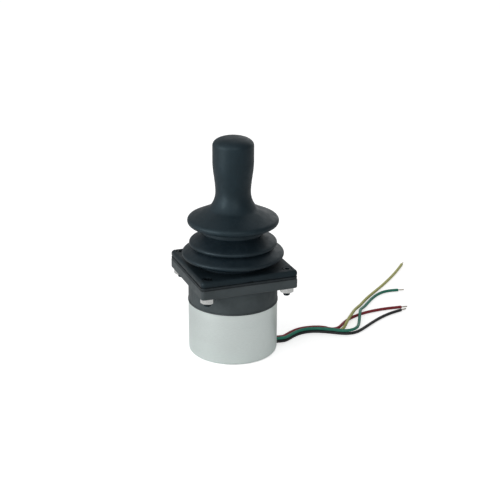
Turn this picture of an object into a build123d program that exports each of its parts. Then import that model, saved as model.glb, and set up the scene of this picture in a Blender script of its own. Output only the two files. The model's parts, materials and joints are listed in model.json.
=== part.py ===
from build123d import *
import os
from math import cos, pi, radians, sin, tan

# All sizes are millimetres. Z points up from the surface the can stands on.
# X and Y run along the sides of the square flange, through the lever's axis.

# Can: a turned aluminium sleeve closed by a base plate
can_radius = 25.0
can_height = 30.0
can_wall = 3.0
can_seat_wall = 2.2
can_bottom_round = 1.9
can_top_chamfer = 0.25
base_thickness = 3.5
spigot_depth = 5.0

# Clearances
slide_gap = 0.05
screw_gap = 0.06
pin_gap = 0.03
soft_gap = 0.3
lay_gap = 0.1

# How far a cutter reaches past what it cuts, and how far joined shapes run into each other
past = 1.0
sunk = 0.5

# Housing above the can: a barrel with a square mounting flange
body_lip = 0.25
body_lip_height = 0.8
spigot_wall = 2.75
flange_half = 27.75
flange_bottom = 43.0
flange_thickness = 5.1
flange_corner = 1.8
flange_edge = 0.3
roof_thickness = 1.4
mouth_radius = 12.5

# Tilt mechanism
pivot_z = 36.5
tilt_limit = 20.0
shaft_radius = 4.0
ring_outer = 14.0
ring_inner = 10.2
ring_half_height = 3.2
block_radius = 7.0
block_half_height = 4.0
block_flat = 6.6
pin_radius = 1.5
bush_wall = 1.1
axle_pin_inner = 11.0
axle_pin_outer = 21.2
bearing_face = 17.2
bearing_half_width = 4.6
bearing_bottom = 31.5
bush_depth = 4.2
ring_edge = 0.3

# Centring springs: one torsion coil of square wire round each axle
spring_wire = 0.6
spring_radius = 3.35
spring_pitch = 0.76
spring_turns = 2.5
spring_tail = 1.5
spring_play = 0.2
spring_end_play = 0.8
anchor_depth = 2.3
anchor_play = 0.03

# Gate plate that stops the lever
gate_radius = 17.0
gate_thickness = 1.5
gate_play = 0.4
gate_corner = 2.0
gate_screw_circle = 14.75
gate_screw_radius = 1.25
gate_screw_head = 2.2
gate_screw_length = 2.8
gate_slot_width = 0.6
gate_slot_depth = 0.5

# Rubber gasket and bezel
gasket_thickness = 1.5
gasket_opening = 15.5
gasket_step_height = 0.4
gasket_step_depth = 0.6
bezel_thickness = 3.55
bezel_opening = 22.0
bezel_corner = 2.3
bezel_edge = 1.7
bezel_step_height = 0.3
bezel_step_depth = 0.4
bezel_tab_width = 3.2
bezel_tab_height = 0.9
bezel_tab_depth = 0.8

# Mounting screws, nuts and the holes above them
hole_pitch = 46.0
mount_screw_radius = 2.0
mount_screw_length = 7.5
mount_head_radius = 3.4
mount_head_height = 2.8
mount_head_edge = 0.3
mount_socket_flats = 2.5
mount_socket_depth = 1.6
access_radius = 2.7
nut_flats = 7.0
nut_height = 3.2
nut_bevel = 0.35
nut_bevel_drop = 0.21
nut_corner_play = 0.05

# Shared shares of a screw's radius: its point, and its cross recess
point_share = 0.3
recess_width_share = 0.275
recess_span_share = 1.1
recess_depth = 0.9

# Boot: three folds of a conical rubber bellows, each as rim radius, low z, high z
boot_wall = 1.1
boot_folds = [(28.3, 56.1, 59.3), (24.3, 62.5, 65.5), (19.0, 69.6, 72.2)]
boot_valleys = [(20.0, 57.9), (16.3, 64.6), (11.4, 71.3)]
boot_fold_lip = 0.8
boot_collar_radius = 21.6
boot_collar_top = 53.7
boot_bead_radius = 24.0
boot_bead_height = 1.8
boot_neck_radius = 9.55
boot_neck_top = 74.2
boot_neck_rise = 1.2

# Grip: one rubber moulding of a knob and a skirt disc
disc_radius = 25.25
disc_rim_z = 76.7
disc_rim_round = 2.14
disc_under_z = 75.7
disc_under_inner = 12.0
cone_radius = 13.15
cone_z = 84.0
neck_radius = 9.74
neck_z = 93.0
knob_radius = 11.31
knob_low_z = 110.1
knob_high_z = 118.5
knob_top_z = 123.7
knob_squareness = 2.34
hub_radius = 8.15
hub_bottom = 72.0
shoulder_z = 84.0
stud_radius = 3.0
stud_top = 104.0
stud_edge = 0.7
shaft_edge = 0.5
insert_radius = 5.5
insert_top = 106.0
insert_groove_depth = 0.6
insert_groove_width = 1.2
insert_groove_start = 4.0
insert_groove_pitch = 4.5
insert_groove_count = 4
clamp_height = 1.2
clamp_wall = 0.8
clamp_drop = 0.2

# Magnet on the lever's lower end
holder_radius = 5.5
holder_bottom = 19.5
holder_top = 27.0
holder_bore_bottom = 23.5
holder_edge = 0.6
magnet_radius = 3.0
magnet_height = 2.1

# Sensor board on three posts
board_radius = 16.2
board_z = 14.0
board_thickness = 1.6
post_circle = 13.0
post_radius = 2.6
post_bore_depth = 6.0
board_screw_radius = 1.25
board_screw_head = 2.2
board_screw_head_height = 1.5
board_screw_bevel_share = 0.6
board_screw_length = 5.0
chip_length = 5.0
chip_width = 4.0
chip_height = 1.5
chip_standoff = 0.15
chip_leg_reach = 0.9
chip_leg_width = 0.45
chip_leg_height = 0.5
chip_leg_places = (-1.65, -0.55, 0.55, 1.65)
capacitor_radius = 2.0
capacitor_height = 4.2
capacitor_place = 7.5
capacitor_angles = (120, 240)
resistor_length = 2.0
resistor_width = 1.25
resistor_height = 0.6
resistor_place = 6.5
resistor_angles = (20, 100, 140, 220, 260)

# Tie screws that hold the can between the base plate and the housing
tie_circle = 18.5
tie_radius = 1.5
tie_length = 34.0
tie_head_radius = 2.9
tie_boss_radius = 3.2
tie_hole_spare = 1.5

# O-ring between can and housing
oring_section = 0.6
oring_z = 27.6
oring_squeeze = 0.02

# Four leads, through a rubber grommet in the can's lower rim
exit_angle = -9.0
wire_radius = 0.9
wire_pitch = 2.0
wire_level_pitch = 1.9
grommet_low_level = 1.35
grommet_width = 5.0
grommet_bottom = 0.1
grommet_top = 4.6
grommet_proud = 0.2
grommet_inner_end = 14.2
grommet_shoulder_width = 7.0
grommet_shoulder_height = 1.2
grommet_shoulder_length = 2.2
pocket_inner = 7.0
pocket_floor = 0.4
lead_rise_outer = 12.0
lead_rise_inner = 9.6
lead_bend = 2.2
exit_run = 2.8
bend_share = 0.45
floor_level = 0.95
hump_level = 3.0
tip_radius = 0.45
tip_length = 4.0

# Sizes that follow from the ones above
flange_top = flange_bottom + flange_thickness
gate_bottom = flange_top - gate_thickness
roof_bottom = gate_bottom - roof_thickness
gasket_top = flange_top + gasket_thickness
bezel_top = gasket_top + bezel_thickness
screw_seat = flange_top - mount_head_height - lay_gap
can_bore = can_radius - can_wall
can_seat = can_radius - can_seat_wall
spigot_radius = can_seat - slide_gap
spigot_bottom = can_height - spigot_depth
cavity_radius = spigot_radius - spigot_wall
bush_radius = pin_radius + pin_gap + bush_wall
run_per_height = tan(radians(tilt_limit)) / cos(radians(tilt_limit))
gate_half = (flange_top - pivot_z) * run_per_height + shaft_radius / cos(radians(tilt_limit)) + gate_play
upper_level = floor_level + wire_level_pitch
anchor_radius = spring_wire / 2 / cos(radians(45)) + anchor_play
exit_direction = Vector(cos(radians(exit_angle)), sin(radians(exit_angle)), 0)
exit_radius = can_radius + grommet_proud

# Route of the four leads while they lie together, as x and y of the bundle's middle
bundle_route = [
    (30.4, -3.7), (33.3, -2.0), (36.9, 0.3), (41.3, 2.4), (46.5, 3.2), (51.8, 2.4), (57.0, -0.2),
]
# Routes of the free parts, as x, y and z
black_route = [
    (61.3, -4.1, floor_level), (65.4, -7.0, floor_level), (69.6, -8.6, floor_level),
    (73.8, -8.4, floor_level), (78.1, -6.4, floor_level), (83.0, -3.2, floor_level),
    (88.6, 0.6, floor_level), (94.8, 4.5, floor_level), (101.4, 8.0, floor_level),
    (108.1, 10.6, floor_level), (114.6, 12.1, floor_level),
]
green_route = [
    (61.2, -4.0, upper_level), (65.1, -6.9, upper_level), (69.1, -8.4, upper_level),
    (72.9, -7.8, upper_level), (76.1, -5.3, 2.5), (78.7, -1.7, 1.7), (81.3, 2.6, 1.3),
    (83.9, 7.3, 2.1), (86.3, 11.8, hump_level), (88.9, 16.5, hump_level),
    (92.2, 20.7, 1.9), (96.0, 24.8, floor_level), (100.4, 29.2, floor_level),
    (105.2, 33.9, floor_level), (110.4, 38.2, floor_level), (116.0, 41.5, floor_level),
    (122.1, 42.8, floor_level), (128.0, 41.6, floor_level),
]
red_route = [
    (57.8, 2.0, 2.45), (61.0, 0.9, 1.3), (63.9, 0.3, floor_level), (66.8, 0.9, floor_level),
    (69.4, 3.0, floor_level), (72.4, 5.9, floor_level), (76.2, 9.1, floor_level),
    (80.8, 11.9, floor_level), (86.0, 14.2, floor_level), (91.8, 15.9, floor_level),
    (98.0, 16.9, floor_level), (104.7, 17.2, floor_level), (110.9, 16.9, floor_level),
    (116.9, 16.2, floor_level),
]
yellow_route = [
    (61.3, -1.8, floor_level), (64.6, -2.8, floor_level), (67.6, -2.2, floor_level),
    (70.3, -0.1, 1.2), (73.2, 3.3, 2.2), (77.0, 7.7, hump_level), (81.1, 12.4, hump_level),
    (85.3, 17.4, hump_level), (89.8, 22.6, 1.9), (94.8, 27.9, floor_level),
    (100.7, 33.9, floor_level), (107.2, 39.6, floor_level), (113.9, 45.1, floor_level),
    (120.6, 50.7, floor_level), (127.4, 56.7, floor_level), (134.0, 62.8, floor_level),
    (140.4, 69.1, floor_level), (146.5, 75.5, floor_level), (152.0, 81.6, floor_level),
]
# Each lead's side of the bundle, level in the bundle, and free route
leads = {
    "wire_black": (-1, 0, black_route),
    "wire_green": (-1, 1, green_route),
    "wire_red": (1, 1, red_route),
    "wire_yellow": (1, 0, yellow_route),
}
# How many bundle points each lead still follows
bundle_points = {"wire_black": 7, "wire_green": 7, "wire_red": 6, "wire_yellow": 7}


def rod(radius, low, high):
    return Pos(0, 0, (low + high) / 2) * Cylinder(radius, high - low)


def tube(outer, inner, low, high):
    return rod(outer, low, high) - rod(inner, low - past, high + past)


def block(x_size, y_size, low, high):
    return Pos(0, 0, (low + high) / 2) * Box(x_size, y_size, high - low)


def turned(points):
    """A solid turned about the Z axis from a closed outline of radius and height."""
    outline = Polyline(*[(x, 0, z) for x, z in points], close=True)
    return revolve(make_face(outline), Axis.Z)


def rounded_square(half, corner, low, high):
    plate = RectangleRounded(2 * half, 2 * half, corner)
    return extrude(Pos(0, 0, low) * plate, amount=high - low)


def on_circle(radius, angles):
    return [Pos(radius * cos(radians(a)), radius * sin(radians(a)), 0) for a in angles]


def on_corners():
    half = hole_pitch / 2
    return [Pos(x, y, 0) for x in (-half, half) for y in (-half, half)]


def copies(shape, places):
    return Compound(children=[place * shape for place in places])


def without(shape, cutter, places):
    for place in places:
        shape = shape - place * cutter
    return shape


def beside(route, offset):
    """The route moved sideways by an offset, to the left where it is positive."""
    places = [Vector(point) for point in route]
    runs = [(b - a).normalized() for a, b in zip(places, places[1:])]
    moved = []
    for place, before, after in zip(places, [runs[0]] + runs, runs + [runs[-1]]):
        left = Vector(-(before + after).Y, (before + after).X, 0).normalized()
        stretch = 1 / cos(radians(before.get_angle(after)) / 2)
        moved.append(place + left * offset * stretch)
    return moved


tie_places = on_circle(tie_circle, (45, 135, 225, 315))
post_places = on_circle(post_circle, (exit_angle + 60, exit_angle + 180, exit_angle + 300))
gate_screw_places = on_circle(gate_screw_circle, (0, 90, 180, 270))
toward_exit = Rot(0, 0, exit_angle)


def screw(radius, low, head_outline):
    """A plain shank with a bevelled point at low, under a head given as an outline."""
    point = [(0, low), ((1 - point_share) * radius, low), (radius, low + point_share * radius)]
    return turned(point + head_outline)


def cross_recess(head_radius, low, high):
    width = recess_width_share * head_radius
    span = recess_span_share * head_radius
    return block(width, span, low, high) + block(span, width, low, high)


def along_exit(width, inner, outer, low, high):
    """A bar along the leads' exit direction, from one radius to another."""
    middle = Pos((inner + outer) / 2, 0, (low + high) / 2)
    return toward_exit * (middle * Box(outer - inner, width, high - low))


def lower_sleeve():
    sleeve = rod(can_radius, 0, can_height)
    bottom_edge = sleeve.edges().filter_by(GeomType.CIRCLE).sort_by(Axis.Z)[0]
    sleeve = fillet(bottom_edge, can_bottom_round)
    top_edge = sleeve.edges().filter_by(GeomType.CIRCLE).sort_by(Axis.Z)[-1]
    sleeve = chamfer(top_edge, can_top_chamfer)
    sleeve = sleeve - rod(can_bore, -past, can_height + past)
    sleeve = sleeve - rod(can_seat, -past, base_thickness)
    sleeve = sleeve - rod(can_seat, spigot_bottom - slide_gap, can_height + past)
    notch_width = grommet_width + 2 * slide_gap
    return sleeve - along_exit(notch_width, can_bore - past, can_radius + past, -past, grommet_top + slide_gap)


def base_plate():
    plate = rod(can_seat - slide_gap, 0, base_thickness)
    rim = plate.edges().filter_by(GeomType.CIRCLE).sort_by(Axis.Z)[-1]
    plate = chamfer(rim, can_top_chamfer)
    for place in post_places:
        plate = plate + place * rod(post_radius, base_thickness - past, board_z)
    bore = rod(board_screw_radius + screw_gap, board_z - post_bore_depth, board_z + past)
    plate = without(plate, bore, post_places)
    cone = turned([
        (0, 0), (tie_head_radius + screw_gap, 0),
        (tie_radius + screw_gap, tie_head_radius - tie_radius), (0, tie_head_radius - tie_radius),
    ])
    through = rod(tie_radius + screw_gap, -past, base_thickness + past)
    plate = without(plate, cone + through, tie_places)
    slot_width = grommet_width + 2 * slide_gap
    slot_inner = grommet_inner_end - slide_gap
    plate = plate - along_exit(slot_width, slot_inner, can_radius, -past, board_z)
    return plate - along_exit(slot_width, pocket_inner, slot_inner + past, pocket_floor, board_z)


def tie_screws():
    head = [(tie_radius, tie_length - tie_head_radius + tie_radius), (tie_head_radius, tie_length), (0, tie_length)]
    upright = screw(tie_radius, 0, head) - cross_recess(tie_head_radius, tie_length - recess_depth, tie_length + past)
    upside_down = Pos(0, 0, tie_length) * (Rot(180, 0, 0) * upright)
    return copies(upside_down, tie_places)


def housing_shell():
    barrel = rod(can_radius, can_height, flange_bottom)
    barrel = barrel + rod(can_radius + body_lip, can_height, can_height + body_lip_height)
    flange = rounded_square(flange_half, flange_corner, flange_bottom, flange_top)
    rims = flange.faces().sort_by(Axis.Z)[-1].edges() + flange.faces().sort_by(Axis.Z)[0].edges()
    flange = chamfer(rims, flange_edge)
    spigot = rod(spigot_radius, spigot_bottom, can_height)
    shell = barrel + flange + spigot
    return shell - rod(cavity_radius, spigot_bottom - past, roof_bottom)


def screw_hole(low, high):
    return rod(mount_screw_radius + screw_gap, low - past, high + past)


def mounting_body():
    body = housing_shell()
    for place in tie_places:
        body = body + place * rod(tie_boss_radius, spigot_bottom, roof_bottom + sunk)
    body = body - tube(2 * can_radius, spigot_radius, spigot_bottom - past, can_height)
    tie_hole = rod(tie_radius + screw_gap, spigot_bottom - past, tie_length + tie_hole_spare)
    body = without(body, tie_hole, tie_places)
    for side in (-1, 1):
        middle = side * (bearing_face + cavity_radius + sunk) / 2
        width = cavity_radius + sunk - bearing_face
        pillar = Pos(middle, 0, 0) * block(width, 2 * bearing_half_width, bearing_bottom, roof_bottom + sunk)
        body = body + pillar
    bore = Cylinder(bush_radius + slide_gap, bush_depth + slide_gap, align=(Align.CENTER, Align.CENTER, Align.MIN))
    for turn in (0, 180):
        seat = Rot(0, 0, turn) * (Pos(bearing_face, 0, pivot_z) * (Rot(0, 90, 0) * bore))
        body = body - seat
    body = body - spring_anchor_x()
    body = body - rod(mouth_radius, roof_bottom - past, flange_top + past)
    body = body - rod(gate_radius + slide_gap, gate_bottom, flange_top + past)
    body = without(body, rod(gate_screw_radius + screw_gap, roof_bottom - past, flange_top), gate_screw_places)
    body = without(body, screw_hole(flange_bottom, flange_top), on_corners())
    head_room = rod(mount_head_radius + screw_gap, screw_seat, flange_top + past)
    body = without(body, head_room, on_corners())
    groove_inner = can_seat - 2 * oring_section - oring_squeeze - slide_gap
    groove_low = oring_z - oring_section - slide_gap
    groove_high = oring_z + oring_section + slide_gap
    return body - tube(can_radius, groove_inner, groove_low, groove_high)


def o_ring():
    centre = can_seat - oring_section - oring_squeeze
    return Pos(0, 0, oring_z) * Torus(centre, oring_section)


def gate_plate():
    plate = rod(gate_radius, gate_bottom, flange_top)
    opening = rounded_square(gate_half, gate_corner, gate_bottom - past, flange_top + past)
    head = gate_screw_head + screw_gap
    seat = turned([
        (0, flange_top + past), (head, flange_top + past), (head, flange_top),
        (gate_screw_radius + screw_gap, flange_top - gate_screw_head + gate_screw_radius),
        (gate_screw_radius + screw_gap, gate_bottom - past), (0, gate_bottom - past),
    ])
    return without(plate - opening, seat, gate_screw_places)


def gate_screws():
    head = [(gate_screw_radius, flange_top - gate_screw_head + gate_screw_radius), (gate_screw_head, flange_top),
            (0, flange_top)]
    slot = block(2 * gate_screw_head + past, gate_slot_width, flange_top - gate_slot_depth, flange_top + past)
    whole = screw(gate_screw_radius, flange_top - gate_screw_length, head)
    return copies(whole - slot, gate_screw_places)


def gasket():
    low = rounded_square(flange_half - gasket_step_depth, flange_corner, flange_top,
                         flange_top + gasket_step_height)
    high = rounded_square(flange_half, bezel_corner, flange_top + gasket_step_height, gasket_top)
    sheet = low + high - rod(gasket_opening, flange_top - past, gasket_top + past)
    return without(sheet, rod(access_radius, flange_top - past, gasket_top + past), on_corners())


def bezel():
    low = rounded_square(flange_half - bezel_step_depth, bezel_corner, gasket_top,
                         gasket_top + bezel_step_height)
    high = rounded_square(flange_half, bezel_corner, gasket_top + bezel_step_height, bezel_top)
    high = fillet(high.faces().sort_by(Axis.Z)[-1].edges(), bezel_edge)
    frame = low + high
    tab = Pos(flange_half, 0, 0) * block(2 * bezel_tab_depth, bezel_tab_width, gasket_top - past,
                                         gasket_top + bezel_tab_height)
    for turn in (0, 90, 180, 270):
        frame = frame - Rot(0, 0, turn) * tab
    frame = frame - rod(bezel_opening, gasket_top - past, bezel_top + past)
    frame = frame - rod(boot_bead_radius + soft_gap, gasket_top - past,
                        gasket_top + boot_bead_height + 2 * lay_gap)
    return without(frame, rod(access_radius, gasket_top - past, bezel_top + past), on_corners())


def mounting_screws():
    top = screw_seat + mount_head_height
    head = [
        (mount_screw_radius, screw_seat), (mount_head_radius, screw_seat), (mount_head_radius, top - mount_head_edge),
        (mount_head_radius - mount_head_edge, top), (0, top),
    ]
    socket = RegularPolygon(mount_socket_flats / 2, 6, major_radius=False)
    recess = extrude(Pos(0, 0, top) * socket, amount=-mount_socket_depth)
    whole = screw(mount_screw_radius, screw_seat - mount_screw_length, head)
    return copies(whole - recess, on_corners())


def mounting_nuts():
    low = flange_bottom - nut_height
    hexagon = extrude(Pos(0, 0, low) * RegularPolygon(nut_flats / 2, 6, major_radius=False),
                      amount=nut_height)
    tip = nut_flats / 2 / cos(radians(30)) + nut_corner_play
    turned_limit = turned([
        (0, low), (tip - nut_bevel, low), (tip, low + nut_bevel_drop), (tip, flange_bottom - nut_bevel_drop),
        (tip - nut_bevel, flange_bottom), (0, flange_bottom),
    ])
    nut = hexagon & turned_limit
    return copies(nut - screw_hole(low, flange_bottom), on_corners())


def cross_rod(radius, low, high):
    """A rod along Y at the pivot's height."""
    middle = Pos(0, (low + high) / 2, pivot_z)
    return middle * (Rot(90, 0, 0) * Cylinder(radius, high - low))


def axle_rod(radius, low, high):
    """A rod along X at the pivot's height."""
    middle = Pos((low + high) / 2, 0, pivot_z)
    return middle * (Rot(0, 90, 0) * Cylinder(radius, high - low))


def spring_anchor_x():
    """Holes for the X spring's two tails: one in the ring, one in the bearing pillar."""
    ring_hole = Pos(0, spring_radius, 0) * axle_rod(anchor_radius, ring_outer - anchor_depth, ring_outer + past)
    body_hole = Pos(0, -spring_radius, 0) * axle_rod(anchor_radius, bearing_face - past, bearing_face + anchor_depth)
    return ring_hole + body_hole


def spring_anchor_y():
    """Holes for the Y spring's two tails: one in the block, one in the ring."""
    block_hole = Pos(spring_radius, 0, 0) * cross_rod(anchor_radius, block_flat - anchor_depth, block_flat + past)
    ring_hole = Pos(-spring_radius, 0, 0) * cross_rod(anchor_radius, ring_inner - 2 * past, ring_inner + anchor_depth)
    return block_hole + ring_hole


def gimbal_ring():
    low = pivot_z - ring_half_height
    high = pivot_z + ring_half_height
    ring = tube(ring_outer, ring_inner, low, high)
    ring = chamfer(ring.edges().filter_by(GeomType.CIRCLE), ring_edge)
    for side in (-1, 1):
        reach = sorted((side * ring_inner / 2, side * ring_outer * 2))
        ring = ring - axle_rod(pin_radius + pin_gap, *reach)
        ring = ring - cross_rod(bush_radius + slide_gap, *reach)
    return ring - spring_anchor_x() - spring_anchor_y()


def axle_pins():
    pin = axle_rod(pin_radius, axle_pin_inner, axle_pin_outer)
    return Compound(children=[pin, Rot(0, 0, 180) * pin])


def axle_bushes():
    outside = axle_rod(bush_radius, bearing_face, bearing_face + bush_depth)
    bush = outside - axle_rod(pin_radius + pin_gap, bearing_face - past, bearing_face + bush_depth + past)
    return Compound(children=[bush, Rot(0, 0, 180) * bush])


def cross_bushes():
    outside = cross_rod(bush_radius, ring_inner, ring_outer)
    bush = outside - cross_rod(pin_radius + pin_gap, ring_inner - past, ring_outer + past)
    return Compound(children=[bush, Rot(0, 0, 180) * bush])


def cross_pin():
    return cross_rod(pin_radius, -ring_outer, ring_outer)


def pivot_block():
    low = pivot_z - block_half_height
    high = pivot_z + block_half_height
    body = rod(block_radius, low, high) & block(2 * block_radius, 2 * block_flat, low, high)
    body = body - rod(shaft_radius + pin_gap, low - past, high + past)
    return body - cross_rod(pin_radius + pin_gap, -ring_outer, ring_outer) - spring_anchor_y()


def torsion_coil(length):
    """A coil along Z from 0 to its length, with a straight tail at each end."""
    rise = spring_pitch * spring_turns
    start_z = (length - rise) / 2
    helix = Pos(0, 0, start_z) * Helix(spring_pitch, rise, spring_radius)
    section = Plane(origin=helix @ 0, x_dir=(1, 0, 0), z_dir=helix % 0) * Rectangle(spring_wire, spring_wire)
    coil = sweep(section, helix, is_frenet=True)
    half = (spring_wire - anchor_play) / 2
    lower_tail = block(2 * half, 2 * half, -spring_tail, start_z + half)
    upper_tail = block(2 * half, 2 * half, start_z + rise - half, length + spring_tail)
    return coil + Pos(spring_radius, 0, 0) * lower_tail + Pos(-spring_radius, 0, 0) * upper_tail


def centring_spring_x():
    low = ring_outer + spring_play
    coil = torsion_coil(bearing_face - spring_play - low)
    return Plane(origin=(low, 0, pivot_z), x_dir=(0, 1, 0), z_dir=(1, 0, 0)) * coil


def centring_spring_y():
    low = block_flat + spring_play
    coil = torsion_coil(ring_inner - spring_end_play - low)
    return Plane(origin=(0, low, pivot_z), x_dir=(1, 0, 0), z_dir=(0, 1, 0)) * coil


def lever_shaft():
    shaft = turned([
        (0, holder_bore_bottom), (shaft_radius - shaft_edge, holder_bore_bottom),
        (shaft_radius, holder_bore_bottom + shaft_edge), (shaft_radius, shoulder_z),
        (stud_radius, shoulder_z), (stud_radius, stud_top - stud_edge),
        (stud_radius - stud_edge, stud_top), (0, stud_top),
    ])
    return shaft - cross_rod(pin_radius + pin_gap, -ring_outer, ring_outer)


def magnet_holder():
    cup = rod(holder_radius, holder_bottom, holder_top)
    cup = chamfer(cup.edges().filter_by(GeomType.CIRCLE), holder_edge)
    cup = cup - rod(shaft_radius + pin_gap, holder_bore_bottom, holder_top + past)
    return cup - rod(magnet_radius + pin_gap, holder_bottom - past, holder_bottom + magnet_height)


def magnet():
    return rod(magnet_radius, holder_bottom, holder_bottom + magnet_height)


def grip_insert():
    sleeve = tube(insert_radius, stud_radius + pin_gap, shoulder_z, insert_top)
    groove = tube(insert_radius + past, insert_radius - insert_groove_depth, 0, insert_groove_width)
    for step in range(insert_groove_count):
        low = shoulder_z + insert_groove_start + insert_groove_pitch * step
        sleeve = sleeve - Pos(0, 0, low) * groove
    return sleeve


def knob_dome():
    """Points of the knob's rounded top, a little squarer than a half ellipse."""
    rise = knob_top_z - knob_high_z
    power = 2 / knob_squareness
    points = []
    for angle in (0, 15, 30, 45, 60, 75, 90):
        across = knob_radius * cos(radians(angle)) ** power if angle < 90 else 0
        points.append((across, 0, knob_high_z + rise * sin(radians(angle)) ** power))
    return points


def grip():
    rim_middle = disc_radius - disc_rim_round
    cone_slope = Vector(cone_radius - rim_middle, 0, cone_z - disc_rim_z - disc_rim_round)
    across = Vector(cone_slope.Z, 0, -cone_slope.X).normalized() * disc_rim_round
    rim_top = (rim_middle + across.X, 0, disc_rim_z + across.Z)
    rim_bottom = (rim_middle, 0, disc_rim_z - disc_rim_round)
    flare = ((cone_radius - neck_radius) ** 2 + (cone_z - neck_z) ** 2) / 2 / (cone_radius - neck_radius)
    half_flare = neck_z - (neck_z - cone_z) / 2
    flare_x = neck_radius + flare - (flare ** 2 - (neck_z - half_flare) ** 2) ** 0.5
    taper = knob_low_z - neck_z
    lean = (knob_radius - neck_radius) / taper
    outline = Line((0, 0, hub_bottom), (hub_radius, 0, hub_bottom))
    outline += Line((hub_radius, 0, hub_bottom), (hub_radius, 0, disc_under_z))
    outline += Line((hub_radius, 0, disc_under_z), (disc_under_inner, 0, disc_under_z))
    outline += Line((disc_under_inner, 0, disc_under_z), rim_bottom)
    outline += ThreePointArc(rim_bottom, (disc_radius, 0, disc_rim_z), rim_top)
    outline += Line(rim_top, (cone_radius, 0, cone_z))
    outline += ThreePointArc((cone_radius, 0, cone_z), (flare_x, 0, half_flare), (neck_radius, 0, neck_z))
    outline += Spline(
        (neck_radius, 0, neck_z),
        (neck_radius + lean * taper / 2, 0, neck_z + taper / 2),
        (knob_radius, 0, knob_low_z),
        tangents=[(0, 0, 1), (0, 0, 1)],
    )
    outline += Line((knob_radius, 0, knob_low_z), (knob_radius, 0, knob_high_z))
    outline += Spline(*knob_dome(), tangents=[(0, 0, 1), (-1, 0, 0)])
    outline += Line((0, 0, knob_top_z), (0, 0, hub_bottom))
    moulding = revolve(make_face(outline), Axis.Z)
    moulding = moulding - rod(insert_radius + pin_gap, shoulder_z, insert_top)
    return moulding - rod(shaft_radius + pin_gap, hub_bottom - past, shoulder_z + past)


def boot():
    half = boot_wall / 2
    points = [
        (boot_collar_radius - half, gasket_top + boot_bead_height),
        (boot_collar_radius - half, boot_collar_top),
    ]
    for (rim, low, high), valley in zip(boot_folds, boot_valleys):
        edge = rim - half
        points += [
            (edge - boot_fold_lip, low + half), (edge, low + half + boot_fold_lip),
            (edge, high - half - boot_fold_lip), (edge - boot_fold_lip, high - half),
            valley,
        ]
    neck = boot_neck_radius - half
    points += [(neck, boot_valleys[-1][1] + boot_neck_rise), (neck, boot_neck_top)]
    outline = beside(points, half) + beside(points, -half)[::-1]
    bellows = turned([(place.X, place.Y) for place in outline])
    bead = tube(boot_bead_radius, boot_collar_radius - boot_wall, gasket_top + lay_gap,
                gasket_top + lay_gap + boot_bead_height)
    return bellows + bead


def neck_clamp():
    inner = boot_neck_radius + lay_gap
    top = boot_neck_top - clamp_drop
    return tube(inner + clamp_wall, inner, top - clamp_height, top)


def sensor_board():
    board = rod(board_radius, board_z, board_z + board_thickness)
    hole = rod(board_screw_radius + screw_gap, board_z - past, board_z + board_thickness + past)
    return without(board, hole, post_places)


def board_screws():
    top = board_z + board_thickness
    head_top = top + board_screw_head_height
    bevel_low = top + board_screw_bevel_share * board_screw_head_height
    bevel_radius = board_screw_bevel_share * board_screw_head
    head = [
        (board_screw_radius, top), (board_screw_head, top), (board_screw_head, bevel_low),
        (bevel_radius, head_top), (0, head_top),
    ]
    whole = screw(board_screw_radius, top - board_screw_length, head)
    return copies(whole - cross_recess(board_screw_head, head_top - recess_depth, head_top + past), post_places)


def hall_sensor():
    top = board_z + board_thickness
    chip = block(chip_length, chip_width, top + chip_standoff, top + chip_height)
    leg = block(chip_leg_width, chip_leg_reach, top, top + chip_leg_height)
    for side in (-1, 1):
        for place in chip_leg_places:
            chip = chip + Pos(place, side * (chip_width + chip_leg_reach) / 2, 0) * leg
    return chip


def board_parts():
    pieces = []
    top = board_z + board_thickness
    resistor = block(resistor_length, resistor_width, top, top + resistor_height)
    for angle in resistor_angles:
        pieces.append(Rot(0, 0, exit_angle + angle) * (Pos(resistor_place, 0, 0) * resistor))
    capacitor = rod(capacitor_radius, board_z - capacitor_height, board_z)
    for angle in capacitor_angles:
        pieces.append(Rot(0, 0, exit_angle + angle) * (Pos(capacitor_place, 0, 0) * capacitor))
    return Compound(children=pieces)


def lead_slots():
    """Side offset and level of each lead inside the grommet."""
    sides = (-wire_pitch / 2, wire_pitch / 2)
    levels = (grommet_low_level, grommet_low_level + wire_level_pitch)
    return [(side, level) for side in sides for level in levels]


def cable_grommet():
    plug = along_exit(grommet_width, grommet_inner_end, exit_radius + past, grommet_bottom, grommet_top)
    plug = plug & rod(exit_radius, 0, can_height)
    shoulder_outer = can_bore - slide_gap
    shoulder = along_exit(grommet_shoulder_width, shoulder_outer - grommet_shoulder_length,
                          can_radius, base_thickness + slide_gap, grommet_top + grommet_shoulder_height)
    shoulder = shoulder & rod(shoulder_outer, 0, can_height)
    grommet = plug + shoulder
    lead_hole = Rot(0, 90, 0) * Cylinder(wire_radius + pin_gap, exit_radius - grommet_inner_end + 2 * past)
    for side, level in lead_slots():
        place = Pos((exit_radius + grommet_inner_end) / 2, side, level)
        grommet = grommet - toward_exit * (place * lead_hole)
    return grommet


def inner_leads():
    pieces = []
    for side, level in lead_slots():
        rise = lead_rise_inner if level == grommet_low_level else lead_rise_outer
        points = [(exit_radius, side, level), (rise, side, level), (rise, side, board_z)]
        path = FilletPolyline(*points, radius=lead_bend)
        section = Plane(origin=points[0], z_dir=(-1, 0, 0)) * Circle(wire_radius)
        pieces.append(toward_exit * sweep(section, path))
    return Compound(children=pieces)


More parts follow.
